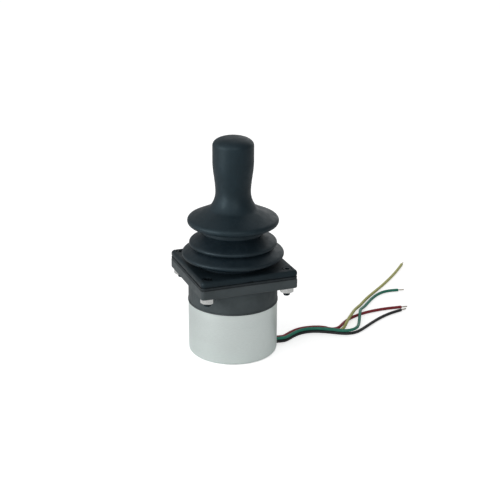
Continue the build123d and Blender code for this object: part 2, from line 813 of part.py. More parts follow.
def lead_route(name):
    """All points of one lead, from the grommet's outer face to the end of its sleeve."""
    side, level, free = leads[name]
    offset = side * wire_pitch / 2
    exit_level = grommet_low_level + level * wire_level_pitch
    bundle_level = floor_level + level * wire_level_pitch
    start = exit_direction * exit_radius
    straight = exit_direction * (exit_radius + exit_run)
    middle = [start, straight] + [Vector(x, y, 0) for x, y in bundle_route]
    together = beside(middle, offset)[:bundle_points[name] + 2]
    route = [place + Vector(0, 0, exit_level) for place in together[:2]]
    route += [place + Vector(0, 0, bundle_level) for place in together[2:]]
    return route + [Vector(*point) for point in free]


def bend_radii(route):
    """The largest tangent arc that each corner of a route has room for."""
    radii = []
    for before, corner, after in zip(route, route[1:], route[2:]):
        run_in = corner - before
        run_out = after - corner
        turn = radians(run_in.get_angle(run_out))
        radii.append(bend_share * min(run_in.length, run_out.length) / tan(turn / 2))
    return radii


def wire(name):
    route = lead_route(name)
    radii = bend_radii(route)
    path = FilletPolyline(*route, radius=radii)
    section = Plane(origin=route[0], z_dir=route[1] - route[0]) * Circle(wire_radius)
    lead = sweep(section, path)
    area = pi * wire_radius ** 2
    runs = [(b - a).length for a, b in zip(route, route[1:])]
    print(f"{name}: length {path.length:.1f}, volume over section times length "
          f"{lead.volume / area / path.length:.4f}, runs {min(runs):.1f} to {max(runs):.1f}")
    print("  bend radii " + " ".join(f"{radius:.1f}" for radius in radii))
    return lead


def wire_tips():
    pieces = []
    for name in leads:
        last, before = lead_route(name)[-1], lead_route(name)[-2]
        tip = Plane(origin=last, z_dir=last - before) * rod(tip_radius, 0, tip_length)
        pieces.append(tip)
    return Compound(children=pieces)


nodes = {
    "lower_sleeve": lower_sleeve, "base_plate": base_plate, "tie_screws": tie_screws,
    "mounting_body": mounting_body, "o_ring": o_ring, "gate_plate": gate_plate,
    "gate_screws": gate_screws, "gasket": gasket, "bezel": bezel,
    "mounting_screws": mounting_screws, "mounting_nuts": mounting_nuts,
    "axle_bushes": axle_bushes, "gimbal_ring": gimbal_ring, "axle_pins": axle_pins,
    "cross_bushes": cross_bushes, "cross_pin": cross_pin, "pivot_block": pivot_block,
    "centring_spring_x": centring_spring_x, "centring_spring_y": centring_spring_y,
    "lever_shaft": lever_shaft, "magnet_holder": magnet_holder, "magnet": magnet,
    "grip_insert": grip_insert, "grip": grip, "boot": boot, "neck_clamp": neck_clamp,
    "sensor_board": sensor_board, "board_screws": board_screws, "hall_sensor": hall_sensor,
    "board_parts": board_parts, "cable_grommet": cable_grommet, "inner_leads": inner_leads,
    "wire_tips": wire_tips,
}

os.makedirs("parts", exist_ok=True)
for node, build in nodes.items():
    export_step(build(), f"parts/{node}.step")
for node in leads:
    export_step(wire(node), f"parts/{node}.step")
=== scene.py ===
import json
from math import atan2, cos, pi, radians, sin, tan

import bmesh
import bpy
from mathutils import Matrix, Vector


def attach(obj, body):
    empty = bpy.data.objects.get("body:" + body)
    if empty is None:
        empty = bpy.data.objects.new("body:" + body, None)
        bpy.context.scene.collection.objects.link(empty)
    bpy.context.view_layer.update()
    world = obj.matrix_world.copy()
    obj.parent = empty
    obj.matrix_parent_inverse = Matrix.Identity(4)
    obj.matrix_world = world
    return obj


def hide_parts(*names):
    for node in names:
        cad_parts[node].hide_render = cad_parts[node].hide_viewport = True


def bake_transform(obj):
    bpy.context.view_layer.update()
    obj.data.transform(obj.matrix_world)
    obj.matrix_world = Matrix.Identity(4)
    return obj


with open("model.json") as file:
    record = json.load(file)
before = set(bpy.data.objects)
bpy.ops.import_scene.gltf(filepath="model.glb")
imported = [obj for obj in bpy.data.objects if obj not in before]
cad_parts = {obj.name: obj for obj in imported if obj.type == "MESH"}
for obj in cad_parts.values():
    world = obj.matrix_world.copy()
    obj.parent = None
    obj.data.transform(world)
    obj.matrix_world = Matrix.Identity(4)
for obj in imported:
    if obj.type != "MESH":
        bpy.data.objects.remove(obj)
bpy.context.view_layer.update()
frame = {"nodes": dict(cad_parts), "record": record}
SLOT_OF = {part["node"]: part["material_slot"] for part in frame["record"]["subparts"]}
MM = 0.001

# Sizes in millimetres that several pieces share, the same as the solids' sizes
FLANGE_HALF = 27.75
BOLT_OFFSET = 23
FLANGE_BOTTOM = 43.0
FLANGE_TOP = 48.1
GASKET_TOP = 49.6
BEZEL_TOP = 53.15
ACCESS_RADIUS = 2.7
LEAD_RADIUS = 0.9
CORNERS = [(x, y) for x in (-BOLT_OFFSET, BOLT_OFFSET) for y in (-BOLT_OFFSET, BOLT_OFFSET)]


# Camera

def place_camera():
    """The photograph's viewpoint: right, up and forward in the object's frame."""
    turn, tip, roll = 0.3685, 0.35476, -0.0075
    aim_height, across_shift, down_shift, distance = 65, 9.407, 5.679, 635.593
    sensor, focal_pixels, picture_pixels = 36, 1150, 500
    right = Vector((cos(turn), -sin(turn), 0))
    forward = Vector((sin(turn) * cos(tip), cos(turn) * cos(tip), -sin(tip)))
    up = right.cross(forward)
    eye = Vector((0, 0, aim_height)) + right * across_shift - up * down_shift - forward * distance
    across = right * cos(roll) - up * sin(roll)
    upward = right * sin(roll) + up * cos(roll)
    data = bpy.data.cameras.new("camera")
    data.sensor_width = sensor
    data.lens = focal_pixels / picture_pixels * sensor
    data.clip_start, data.clip_end = 0.01, 20
    camera = bpy.data.objects.new("camera", data)
    columns = Matrix((across, upward, -forward)).transposed().to_4x4()
    camera.matrix_world = Matrix.Translation(eye * MM) @ columns
    bpy.context.scene.collection.objects.link(camera)
    bpy.context.scene.camera = camera


place_camera()


# Materials

class Nodes:
    """A small wrapper that adds shader nodes and links them."""

    def __init__(self, tree):
        self.tree = tree

    def add(self, kind, inputs=(), **settings):
        node = self.tree.nodes.new(kind)
        for key, value in settings.items():
            setattr(node, key, value)
        for key, value in dict(inputs).items():
            if isinstance(value, bpy.types.NodeSocket):
                self.tree.links.new(value, node.inputs[key])
            else:
                node.inputs[key].default_value = value
        return node

    def math(self, operation, *values):
        return self.add("ShaderNodeMath", dict(enumerate(values)), operation=operation).outputs[0]

    def spread(self, value, low, high, to_low, to_high):
        wanted = {"Value": value, "From Min": low, "From Max": high, "To Min": to_low, "To Max": to_high}
        return self.add("ShaderNodeMapRange", wanted, interpolation_type="SMOOTHSTEP").outputs[0]

    def mix(self, share, a, b):
        node = self.tree.nodes.new("ShaderNodeMix")
        node.data_type = "RGBA"
        for socket, value in ((node.inputs[0], share), (node.inputs[6], a), (node.inputs[7], b)):
            if isinstance(value, bpy.types.NodeSocket):
                self.tree.links.new(value, socket)
            else:
                socket.default_value = value
        return node.outputs[2]

    def noise(self, place, scale, detail=3, rough=0.55, twist=0):
        wanted = {"Vector": place, "Scale": scale, "Detail": detail, "Roughness": rough, "Distortion": twist}
        return self.add("ShaderNodeTexNoise", wanted).outputs["Fac"]

    def bump(self, height, distance, strength=1.0, before=None):
        wanted = {"Height": height, "Distance": distance, "Strength": strength}
        if before is not None:
            wanted["Normal"] = before
        return self.add("ShaderNodeBump", wanted).outputs[0]


def new_material(name):
    material = bpy.data.materials.new(name)
    material.use_nodes = True
    nodes = Nodes(material.node_tree)
    shader = material.node_tree.nodes["Principled BSDF"]
    return material, nodes, shader


def join(nodes, shader, **wanted):
    for key, value in wanted.items():
        socket = shader.inputs[key.replace("_", " ")]
        if isinstance(value, bpy.types.NodeSocket):
            nodes.tree.links.new(value, socket)
        else:
            socket.default_value = value


def rgba(colour, by=1.0):
    return [value * by for value in colour] + [1.0]


def soft_moulding(name, colour, rough=0.6, grain=4200, depth=0.05, dust=0.25, dust_colour=(0.11, 0.12, 0.125),
                  level=0.4, tint=(0.72, 0.92, 1.0)):
    """Rubber or matt plastic: fine grain, uneven sheen and a little dust on what faces up."""
    material, nodes, shader = new_material(name)
    place = nodes.add("ShaderNodeTexCoord").outputs["Object"]
    faces = nodes.add("ShaderNodeSeparateXYZ", {0: nodes.add("ShaderNodeNewGeometry").outputs["Normal"]})
    cloud = nodes.noise(place, 90, 5, 0.6)
    specks = nodes.noise(place, 1500, 4, 0.7)
    lying = nodes.spread(faces.outputs["Z"], 0.1, 1.0, 0.0, 1.0)
    film = nodes.math("MULTIPLY", nodes.math("MULTIPLY", lying, nodes.spread(specks, 0.42, 0.72, 0.0, 1.0)),
                      nodes.spread(cloud, 0.35, 0.7, 0.2, 1.0))
    tone = nodes.mix(nodes.spread(cloud, 0.3, 0.7, 0.0, 1.0), rgba(colour, 0.86), rgba(colour, 1.14))
    tone = nodes.mix(nodes.math("MULTIPLY", film, dust), tone, rgba(dust_colour))
    sheen = nodes.spread(nodes.noise(place, 240, 4, 0.6), 0.3, 0.7, rough - 0.06, rough + 0.07)
    sheen = nodes.math("ADD", sheen, nodes.math("MULTIPLY", film, 0.15))
    coarse = nodes.bump(nodes.noise(place, grain / 5, 2, 0.5), depth * 1.5 * MM, 0.25)
    fine = nodes.bump(nodes.noise(place, grain, 2, 0.5), depth * MM, 0.5, coarse)
    join(nodes, shader, Base_Color=tone, Roughness=sheen, Normal=fine, Specular_IOR_Level=level)
    join(nodes, shader, Specular_Tint=rgba(tint))
    return material


def turned_metal(name, colour, rough=0.4, rings=5200, depth=0.004, satin=0.35):
    """Turned and anodised aluminium: faint rings round Z, streaks and small stains."""
    material, nodes, shader = new_material(name)
    place = nodes.add("ShaderNodeTexCoord").outputs["Object"]
    split = nodes.add("ShaderNodeSeparateXYZ", {0: place})
    angle = nodes.math("ARCTAN2", split.outputs["Y"], split.outputs["X"])
    flat = nodes.add("ShaderNodeVectorMath", {0: place, 1: (1, 1, 0)}, operation="MULTIPLY").outputs[0]
    away = nodes.add("ShaderNodeVectorMath", {0: flat}, operation="LENGTH").outputs["Value"]
    around = nodes.add("ShaderNodeCombineXYZ", {
        "X": nodes.math("MULTIPLY", angle, 0.0022), "Y": away, "Z": split.outputs["Z"]}).outputs[0]
    lines = nodes.noise(around, rings, 3, 0.6)
    wide = nodes.noise(around, rings / 9, 3, 0.5)
    stain = nodes.noise(place, 70, 5, 0.65, 0.4)
    tone = nodes.mix(nodes.spread(lines, 0.3, 0.7, 0.0, 1.0), rgba(colour, 0.965), rgba(colour, 1.03))
    tone = nodes.mix(nodes.spread(stain, 0.58, 0.8, 0.0, 0.25), tone, rgba(colour, 0.88))
    sheen = nodes.math("ADD", nodes.spread(wide, 0.3, 0.7, rough - 0.04, rough + 0.04),
                       nodes.spread(stain, 0.5, 0.8, 0.0, 0.05))
    relief = nodes.bump(lines, depth * MM, 0.6)
    tangent = nodes.add("ShaderNodeTangent", direction_type="RADIAL", axis="Z").outputs[0]
    join(nodes, shader, Base_Color=tone, Roughness=sheen, Normal=relief, Metallic=1.0, Anisotropic=satin,
         Tangent=tangent)
    return material


def plain_metal(name, colour, rough=0.3, scratch=900, depth=0.004, metallic=1.0, stain=0.3):
    """Plated or ground metal: fine scratches, handling marks and a slight tarnish."""
    material, nodes, shader = new_material(name)
    place = nodes.add("ShaderNodeTexCoord").outputs["Object"]
    drawn = nodes.add("ShaderNodeMapping", {"Vector": place, "Rotation": (0.4, 0.7, 0.3), "Scale": (1, 9, 1)})
    scratches = nodes.noise(drawn.outputs[0], scratch, 4, 0.7)
    marks = nodes.noise(place, 260, 4, 0.6)
    tone = nodes.mix(nodes.spread(marks, 0.4, 0.75, 0.0, stain), rgba(colour, 1.02), rgba(colour, 0.7))
    sheen = nodes.spread(scratches, 0.3, 0.7, rough - 0.05, rough + 0.08)
    relief = nodes.bump(scratches, depth * MM, 0.5)
    join(nodes, shader, Base_Color=tone, Roughness=sheen, Normal=relief, Metallic=metallic)
    return material


def lead_sleeve(name, colour, rough=0.42):
    """Flexible insulation: smooth, with faint drawing lines and smudges."""
    material, nodes, shader = new_material(name)
    place = nodes.add("ShaderNodeTexCoord").outputs["Object"]
    smudge = nodes.noise(place, 180, 5, 0.6)
    fine = nodes.noise(place, 2600, 3, 0.6)
    tone = nodes.mix(nodes.spread(smudge, 0.4, 0.75, 0.0, 0.5), rgba(colour), rgba(colour, 0.72))
    tone = nodes.mix(nodes.spread(fine, 0.55, 0.8, 0.0, 0.12), tone, (0.4, 0.4, 0.38, 1))
    sheen = nodes.spread(smudge, 0.3, 0.7, rough - 0.07, rough + 0.1)
    relief = nodes.bump(fine, 0.02 * MM, 0.3)
    join(nodes, shader, Base_Color=tone, Roughness=sheen, Normal=relief, Specular_IOR_Level=0.45)
    return material


def circuit_board(name):
    """Coated board with fine tracks under the coating."""
    material, nodes, shader = new_material(name)
    place = nodes.add("ShaderNodeTexCoord").outputs["Object"]
    cells = nodes.add("ShaderNodeTexBrick", {
        "Vector": place, "Scale": 420.0, "Mortar Size": 0.09, "Color1": (0.01, 0.12, 0.05, 1),
        "Color2": (0.012, 0.14, 0.06, 1), "Mortar": (0.03, 0.23, 0.1, 1)})
    weave = nodes.noise(place, 2400, 2, 0.5)
    tone = nodes.mix(nodes.spread(weave, 0.4, 0.8, 0.0, 0.3), cells.outputs["Color"], (0.02, 0.1, 0.05, 1))
    relief = nodes.bump(cells.outputs["Fac"], 0.02 * MM, 0.4)
    join(nodes, shader, Base_Color=tone, Roughness=0.35, Normal=relief)
    return material


MATERIALS = {
    "can_aluminium": turned_metal("can_aluminium", (0.82, 0.89, 0.87), 0.42),
    "housing_plastic": soft_moulding("housing_plastic", (0.046, 0.053, 0.055), 0.55, 5200, 0.03, 0.2,
                                     level=0.45),
    "bezel_plastic": soft_moulding("bezel_plastic", (0.006, 0.0115, 0.0155), 0.5, 4800, 0.03, 0.1, level=0.3),
    "boot_rubber": soft_moulding("boot_rubber", (0.0045, 0.0105, 0.0155), 0.46, 3600, 0.05, 0.12),
    "grip_rubber": soft_moulding("grip_rubber", (0.005, 0.0125, 0.018), 0.46, 3400, 0.05, 0.12),
    "black_rubber": soft_moulding("black_rubber", (0.016, 0.018, 0.02), 0.62, 3800, 0.05, 0.2),
    "zinc_steel": plain_metal("zinc_steel", (0.72, 0.73, 0.72), 0.26),
    "black_steel": plain_metal("black_steel", (0.02, 0.031, 0.038), 0.34, 900, 0.004, 0.9, 0.2),
    "steel": plain_metal("steel", (0.56, 0.56, 0.56), 0.28),
    "spring_steel": plain_metal("spring_steel", (0.4, 0.4, 0.41), 0.3),
    "bronze": plain_metal("bronze", (0.58, 0.38, 0.18), 0.32),
    "gimbal_aluminium": turned_metal("gimbal_aluminium", (0.6, 0.6, 0.6), 0.35),
    "holder_plastic": soft_moulding("holder_plastic", (0.05, 0.05, 0.052), 0.5),
    "magnet_metal": plain_metal("magnet_metal", (0.65, 0.64, 0.62), 0.15),
    "board_green": circuit_board("board_green"),
    "chip_black": soft_moulding("chip_black", (0.02, 0.02, 0.021), 0.45),
    "lead_grey": lead_sleeve("lead_grey", (0.3, 0.3, 0.3)),
    "lead_black": lead_sleeve("lead_black", (0.012, 0.014, 0.016)),
    "lead_green": lead_sleeve("lead_green", (0.012, 0.19, 0.125)),
    "lead_red": lead_sleeve("lead_red", (0.25, 0.014, 0.024)),
    "lead_yellow": lead_sleeve("lead_yellow", (0.46, 0.46, 0.14)),
    "tinned_copper": plain_metal("tinned_copper", (0.7, 0.66, 0.58), 0.3),
}
for node, thing in frame["nodes"].items():
    thing.data.materials.clear()
    thing.data.materials.append(MATERIALS[SLOT_OF[node]])


# Meshes, with all sizes in millimetres

def made(name, points, faces, slot, edge_angle=40):
    """A smooth mesh object with sharp edges where its faces turn by more than an angle."""
    mesh = bpy.data.meshes.new(name)
    mesh.from_pydata([[value * MM for value in point] for point in points], [], faces)
    thing = bpy.data.objects.new(name, mesh)
    bpy.context.scene.collection.objects.link(thing)
    return dressed(thing, slot, edge_angle)


def dressed(thing, slot, edge_angle=40, weighted=False):
    """Faces out, smooth shading, sharp edges, material and slot. Weighted normals keep flat faces flat."""
    work = bmesh.new()
    work.from_mesh(thing.data)
    bmesh.ops.recalc_face_normals(work, faces=work.faces)
    for edge in work.edges:
        edge.smooth = not edge.is_manifold or edge.calc_face_angle(0) < radians(edge_angle)
    for face in work.faces:
        face.smooth = True
    work.to_mesh(thing.data)
    work.free()
    thing.data.materials.clear()
    thing.data.materials.append(MATERIALS[slot])
    if weighted:
        thing.modifiers.new("normals", "WEIGHTED_NORMAL").keep_sharp = True
    return thing


def rounded(corners, step=9):
    """A line through corners of (across, height, rounding), with an arc at each rounded corner."""
    line = []
    count = len(corners)
    for index, (x, z, radius) in enumerate(corners):
        if radius == 0 or index in (0, count - 1):
            line.append((x, z))
            continue
        here = Vector((x, z))
        before = Vector(corners[index - 1][:2]) - here
        after = Vector(corners[index + 1][:2]) - here
        half = before.angle(after) / 2
        reach = min(radius / tan(half), 0.49 * before.length, 0.49 * after.length)
        radius = reach * tan(half)
        bisector = (before.normalized() + after.normalized()).normalized()
        centre = here + bisector * radius / sin(half)
        start = here + before.normalized() * reach - centre
        turn = start.angle_signed(here + after.normalized() * reach - centre)
        pieces = max(2, int(abs(turn) / radians(step)) + 1)
        for piece in range(pieces + 1):
            arm = start.copy()
            arm.rotate(Matrix.Rotation(-turn * piece / pieces, 2))
            line.append(tuple(centre + arm))
    return line


def thickened(line, half):
    """A closed outline round a line, half a wall to each side."""
    sides = []
    for index, (x, z) in enumerate(line):
        before = Vector(line[max(index - 1, 0)])
        after = Vector(line[min(index + 1, len(line) - 1)])
        run = (after - before).normalized()
        sides.append(((x + run.y * half, z - run.x * half), (x - run.y * half, z + run.x * half)))
    return [side[0] for side in sides] + [side[1] for side in reversed(sides)]


def turned_faces(count, steps, closed):
    """Quads between rings of points that follow one another."""
    faces = []
    for ring in range(count if closed else count - 1):
        after = (ring + 1) % count
        for step in range(steps):
            beside = (step + 1) % steps
            faces.append((ring * steps + step, ring * steps + beside, after * steps + beside,
                          after * steps + step))
    return faces


def turned(name, line, slot, steps=160, closed=False, relief=None, edge_angle=40):
    """A shape turned about the Z axis. An open line's ends are closed with flat or pointed caps."""
    points = []
    for x, z in line:
        for step in range(steps):
            angle = 2 * pi * step / steps
            extra = relief(x, z, angle) if relief else 0
            points.append(((x + extra) * cos(angle), (x + extra) * sin(angle), z))
    faces = turned_faces(len(line), steps, closed)
    if not closed:
        faces.append(tuple(range(steps)))
        faces.append(tuple(range((len(line) - 1) * steps, len(line) * steps)))
    return made(name, points, faces, slot, edge_angle)


def cut(thing, *cutters):
    """Takes cutters away from a thing and removes them."""
    for cutter in cutters:
        modifier = thing.modifiers.new("cut", "BOOLEAN")
        modifier.object, modifier.operation, modifier.solver = cutter, "DIFFERENCE", "EXACT"
    bpy.context.view_layer.update()
    whole = thing.evaluated_get(bpy.context.evaluated_depsgraph_get())
    mesh = bpy.data.meshes.new_from_object(whole)
    thing.modifiers.clear()
    thing.data = mesh
    for cutter in cutters:
        bpy.data.objects.remove(cutter)
    return thing


def block(x_low, x_high, y_low, y_high, low, high):
    points = [(x, y, z) for x in (x_low, x_high) for y in (y_low, y_high) for z in (low, high)]
    faces = [(0, 1, 3, 2), (4, 6, 7, 5), (0, 4, 5, 1), (2, 3, 7, 6), (0, 2, 6, 4), (1, 5, 7, 3)]
    return made("block", points, faces, "steel")


def pillar(x, y, line, steps=48):
    """A turned cutter about a vertical axis through x and y."""
    thing = turned("pillar", line, "steel", steps)
    thing.data.transform(Matrix.Translation((x * MM, y * MM, 0)))
    return thing


# Leads: the route of each one, from the grommet to the end of its sleeve

def lead(name, colour, node, route, tip_length=4.0):
    """One lead lying on the surface, with its stripped, tinned strands."""
    curve = bpy.data.curves.new(name, "CURVE")
    curve.dimensions = "3D"
    curve.bevel_depth, curve.bevel_resolution, curve.use_fill_caps = LEAD_RADIUS * MM, 5, True
    curve.resolution_u = 10
    spline = curve.splines.new("NURBS")
    spline.points.add(len(route) - 1)
    for point, place in zip(spline.points, route):
        point.co = [value * MM for value in place] + [1]
    spline.order_u = 3
    spline.use_endpoint_u = True
    thing = bpy.data.objects.new(name, curve)
    bpy.context.scene.collection.objects.link(thing)
    curve.materials.append(MATERIALS[colour])
    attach(thing, "housing")
    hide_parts(node)
    end, before = Vector(route[-1]), Vector(route[-2])
    strands = stranded(name + "_strands", end, (end - before).normalized(), tip_length)
    return strands


def stranded(name, start, run, length):
    """Seven twisted strands that stick out of a lead's end."""
    hidden, twist, strand_radius, worn_radius = 0.6, 0.34, 0.15, 0.1
    side = run.cross(Vector((0, 0, 1))).normalized()
    up = side.cross(run)
    points, faces, rounds, steps = [], [], 8, 12
    for strand in range(7):
        base = len(points)
        for step in range(steps + 1):
            along = -hidden + (length + hidden - 0.08 * (strand % 3)) * step / steps
            angle = strand * pi / 3 + twist * along
            out = 0 if strand == 6 else 0.29 + 0.03 * max(along - 3, 0)
            middle = start + run * along + (side * cos(angle) + up * sin(angle)) * out
            thick = strand_radius if step < steps else worn_radius
            for part in range(rounds):
                turn = 2 * pi * part / rounds
                points.append(middle + (side * cos(turn) + up * sin(turn)) * thick)
        faces += [tuple(base + index for index in face) for face in turned_faces(steps + 1, rounds, False)]
        faces.append(tuple(base + part for part in range(rounds)))
        faces.append(tuple(base + steps * rounds + part for part in range(rounds)))
    thing = made(name, points, faces, "tinned_copper")
    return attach(thing, "housing")


BLACK = [
    (24.7, -4.9, 1.35), (27.7, -5.4, 1.35), (30.8, -4.6, 0.95), (33.8, -2.9, 0.95), (37.4, -0.6, 0.95),
    (41.6, 1.4, 0.95), (46.5, 2.2, 0.95), (51.5, 1.4, 0.95), (56.6, -1.1, 0.95), (61.3, -4.1, 0.95),
    (65.4, -7.0, 0.95), (69.6, -8.6, 0.95), (73.8, -8.4, 0.95), (78.1, -6.4, 0.95), (83.0, -3.2, 0.95),
    (88.6, 0.6, 0.95), (94.8, 4.5, 0.95), (101.4, 8.0, 0.95), (108.1, 10.6, 0.95), (114.6, 12.1, 0.95),
]
GREEN = [
    (24.7, -4.9, 3.25), (27.7, -5.4, 3.25), (30.8, -4.6, 2.85), (33.8, -2.9, 2.85), (37.4, -0.6, 2.85),
    (41.6, 1.4, 2.85), (46.5, 2.2, 2.85), (51.5, 1.4, 2.85), (56.6, -1.1, 2.85), (61.2, -4.0, 2.85),
    (65.1, -6.9, 2.85), (69.1, -8.4, 2.85), (72.9, -7.8, 2.85), (76.1, -5.3, 2.5), (78.7, -1.7, 1.7),
    (81.3, 2.6, 1.3), (83.9, 7.3, 2.1), (86.3, 11.8, 3.0), (88.9, 16.5, 3.0), (92.2, 20.7, 1.9),
    (96.0, 24.8, 0.95), (100.4, 29.2, 0.95), (105.2, 33.9, 0.95), (110.4, 38.2, 0.95), (116.0, 41.5, 0.95),
    (122.1, 42.8, 0.95), (128.0, 41.6, 0.95),
]
RED = [
    (25.0, -3.0, 3.25), (27.6, -3.4, 3.25), (30.0, -2.8, 2.85), (32.8, -1.1, 2.85), (36.4, 1.2, 2.85),
    (41.0, 3.4, 2.85), (46.5, 4.2, 2.85), (52.1, 3.4, 2.85), (57.8, 2.0, 2.45), (61.0, 0.9, 1.3),
    (63.9, 0.3, 0.95), (66.8, 0.9, 0.95), (69.4, 3.0, 0.95), (72.4, 5.9, 0.95), (76.2, 9.1, 0.95),
    (80.8, 11.9, 0.95), (86.0, 14.2, 0.95), (91.8, 15.9, 0.95), (98.0, 16.9, 0.95), (104.7, 17.2, 0.95),
    (110.9, 16.9, 0.95), (116.9, 16.2, 0.95),
]
YELLOW = [
    (25.0, -3.0, 1.35), (27.6, -3.4, 1.35), (30.0, -2.8, 0.95), (32.8, -1.1, 0.95), (36.4, 1.2, 0.95),
    (41.0, 3.4, 0.95), (46.5, 4.2, 0.95), (52.1, 3.4, 0.95), (57.4, 0.7, 0.95), (61.3, -1.8, 0.95),
    (64.6, -2.8, 0.95), (67.6, -2.2, 0.95), (70.3, -0.1, 1.2), (73.2, 3.3, 2.2), (77.0, 7.7, 3.0),
    (81.1, 12.4, 3.0), (85.3, 17.4, 3.0), (89.8, 22.6, 1.9), (94.8, 27.9, 0.95), (100.7, 33.9, 0.95),
    (107.2, 39.6, 0.95), (113.9, 45.1, 0.95), (120.6, 50.7, 0.95), (127.4, 56.7, 0.95), (134.0, 62.8, 0.95),
    (140.4, 69.1, 0.95), (146.5, 75.5, 0.95), (152.0, 81.6, 0.95),
]
strands = [
    lead("lead_black", "lead_black", "wire_black", BLACK),
    lead("lead_green", "lead_green", "wire_green", GREEN),
    lead("lead_red", "lead_red", "wire_red", RED),
    lead("lead_yellow", "lead_yellow", "wire_yellow", YELLOW),
]
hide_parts("wire_tips")


# Grip: one rubber moulding of a knob and a skirt disc

def smooth(share):
    return share * share * (3 - 2 * share)


def grip_line():
    """The grip's outline from the bore for the insert, under the skirt and up over the knob."""
    insert_radius, insert_top, shaft_bore, shaft_top, bottom = 5.53, 106.0, 4.03, 84.0, 72.0
    collar_radius, skirt_under = 8.15, 75.7
    edge_x, edge_z, edge_radius = 23.11, 76.7, 2.14
    flare_x, flare_z, flare_top_x, flare_top_z = 13.15, 84.0, 13.9, 83.35
    neck_low, neck_z, neck_radius, flare_radius = 83.6, 93, 9.74, 13.58
    knob_low, knob_shoulder, knob_rise, knob_radius, squareness = 110.1, 118.5, 5.2, 11.31, 2.34
    line = [(0.02, insert_top), (insert_radius, insert_top), (insert_radius, shaft_top),
            (shaft_bore, shaft_top), (shaft_bore, bottom)]
    line += rounded([(shaft_bore, bottom, 0), (collar_radius, bottom, 0.4), (collar_radius, skirt_under, 0.8),
                     (12.0, skirt_under, 1.5), (edge_x, edge_z - edge_radius, 0)])[1:-1]
    slope = atan2(flare_z - edge_z - edge_radius, edge_x - flare_x)
    for step in range(25):
        angle = -pi / 2 + (pi - slope) * step / 24
        line.append((edge_x + edge_radius * cos(angle), edge_z + edge_radius * sin(angle)))
    start = line[-1]
    for step in range(1, 13):
        share = step / 12
        line.append((start[0] + (flare_top_x - start[0]) * share,
                     start[1] + (flare_top_z - start[1]) * share))
    for step in range(1, 25):
        z = neck_low + (neck_z - neck_low) * step / 24
        line.append((neck_radius + flare_radius - (flare_radius ** 2 - (neck_z - z) ** 2) ** 0.5, z))
    for step in range(1, 31):
        share = step / 30
        line.append((neck_radius + (knob_radius - neck_radius) * smooth(share),
                     neck_z + (knob_low - neck_z) * share))
    for step in range(1, 5):
        line.append((knob_radius, knob_low + (knob_shoulder - knob_low) * step / 4))
    for step in range(1, 31):
        angle = pi / 2 * step / 30
        line.append((max(knob_radius * cos(angle) ** (2 / squareness), 0.02),
                     knob_shoulder + knob_rise * sin(angle) ** (2 / squareness)))
    return line


def grip_relief(x, z, angle):
    """A fine mould line on two sides of the outer surface."""
    line_angle, half_width, height = 69.75, 0.6, 0.04
    near = abs(angle % pi - radians(line_angle)) < radians(half_width)
    return height if near and x > 9 and z > 75.7 else 0


grip = turned("grip_skin", grip_line(), "grip_rubber", 240, relief=grip_relief)
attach(grip, "lever")
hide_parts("grip")


# Boot: a rubber bellows in two halves that meet at one ring

# The middle of the wall from the bezel to the neck: distance from the axis, height and rounding
BOOT_CENTRE = [
    (21.05, 51.3, 0), (21.05, 54.6, 0.9), (26.6, 56.65, 0.6), (27.75, 57.3, 0.7), (27.75, 58.2, 0.7),
    (26.9, 58.75, 0.6), (20.2, 62.1, 0.5),
    (22.7, 63.05, 0.7), (23.75, 63.6, 0.6), (23.75, 64.4, 0.6), (22.9, 64.95, 0.6), (15.8, 69.0, 0.4),
    (16.2, 69.85, 0.5), (16.95, 70.5, 0.5), (16.95, 72.4, 0.5), (16.2, 73.05, 0.5), (11.4, 71.3, 0.9),
    (9.0, 72.6, 0.7), (9.0, 74.2, 0),
]
BOOT_HALF_WALL = 0.55
BOOT_LOW, MEETING, BOOT_HIGH = 53.7, 65.5, 72.6


def boot_half(name, lower):
    """The folds below or above the meeting ring. The lower half has the bead that the bezel holds."""
    line = rounded(BOOT_CENTRE, step=12)
    split = next(index for index in range(len(line) - 1)
                 if line[index][1] < MEETING <= line[index + 1][1])
    a, b = Vector(line[split]), Vector(line[split + 1])
    share = (MEETING - a.y) / (b.y - a.y)
    middle = tuple(a + (b - a) * share)
    webs = [tuple(a + (b - a) * k / 6) for k in range(1, 6)]
    below = [point for point in webs if point[1] < MEETING - 0.1]
    above = [point for point in webs if point[1] > MEETING + 0.1]
    part = line[:split + 1] + below + [middle] if lower else [middle] + above + line[split + 1:]
    outline = thickened(part, BOOT_HALF_WALL)
    if lower:
        outline = [(23.9, 49.85), (23.9, 51.6)] + outline[:-1] + [(20.5, 49.85)]
    return turned(name, outline, "boot_rubber", 192, closed=True, edge_angle=50)


boot_low = boot_half("boot_lower", True)
boot_high = boot_half("boot_upper", False)
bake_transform(boot_low)
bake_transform(boot_high)
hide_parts("boot")


# Bezel and gasket: rounded squares with a round opening

def square_edge(half, corner, angle):
    """Distance from the middle to a rounded square's edge, at an angle."""
    x, y = abs(cos(angle)), abs(sin(angle))
    if y > x:
        x, y = y, x
    straight = half / x
    if straight * y <= half - corner:
        return straight
    centre = half - corner
    along = (x + y) * centre
    return along + (along ** 2 - 2 * centre ** 2 + corner ** 2) ** 0.5


def square_ring(name, loops, opening, slot, corner=2.3, half=FLANGE_HALF):
    """Loops of (inset, height) from the bottom to the top outside, then the opening's (radius, height)."""
    turns = [2.5 * k for k in range(15)] + [37.5 + 0.5 * k for k in range(31)]
    turns += [55 + 2.5 * k for k in range(14)]
    angles = [radians(90 * side + turn) for side in range(4) for turn in turns]
    points = []
    for inset, z in loops:
        for angle in angles:
            reach = square_edge(half - inset, max(corner - inset, 0.25), angle)
            points.append((reach * cos(angle), reach * sin(angle), z))
    for radius, z in opening:
        for angle in angles:
            points.append((radius * cos(angle), radius * sin(angle), z))
    count = len(loops) + len(opening)
    return made(name, points, turned_faces(count, len(angles), True), slot)


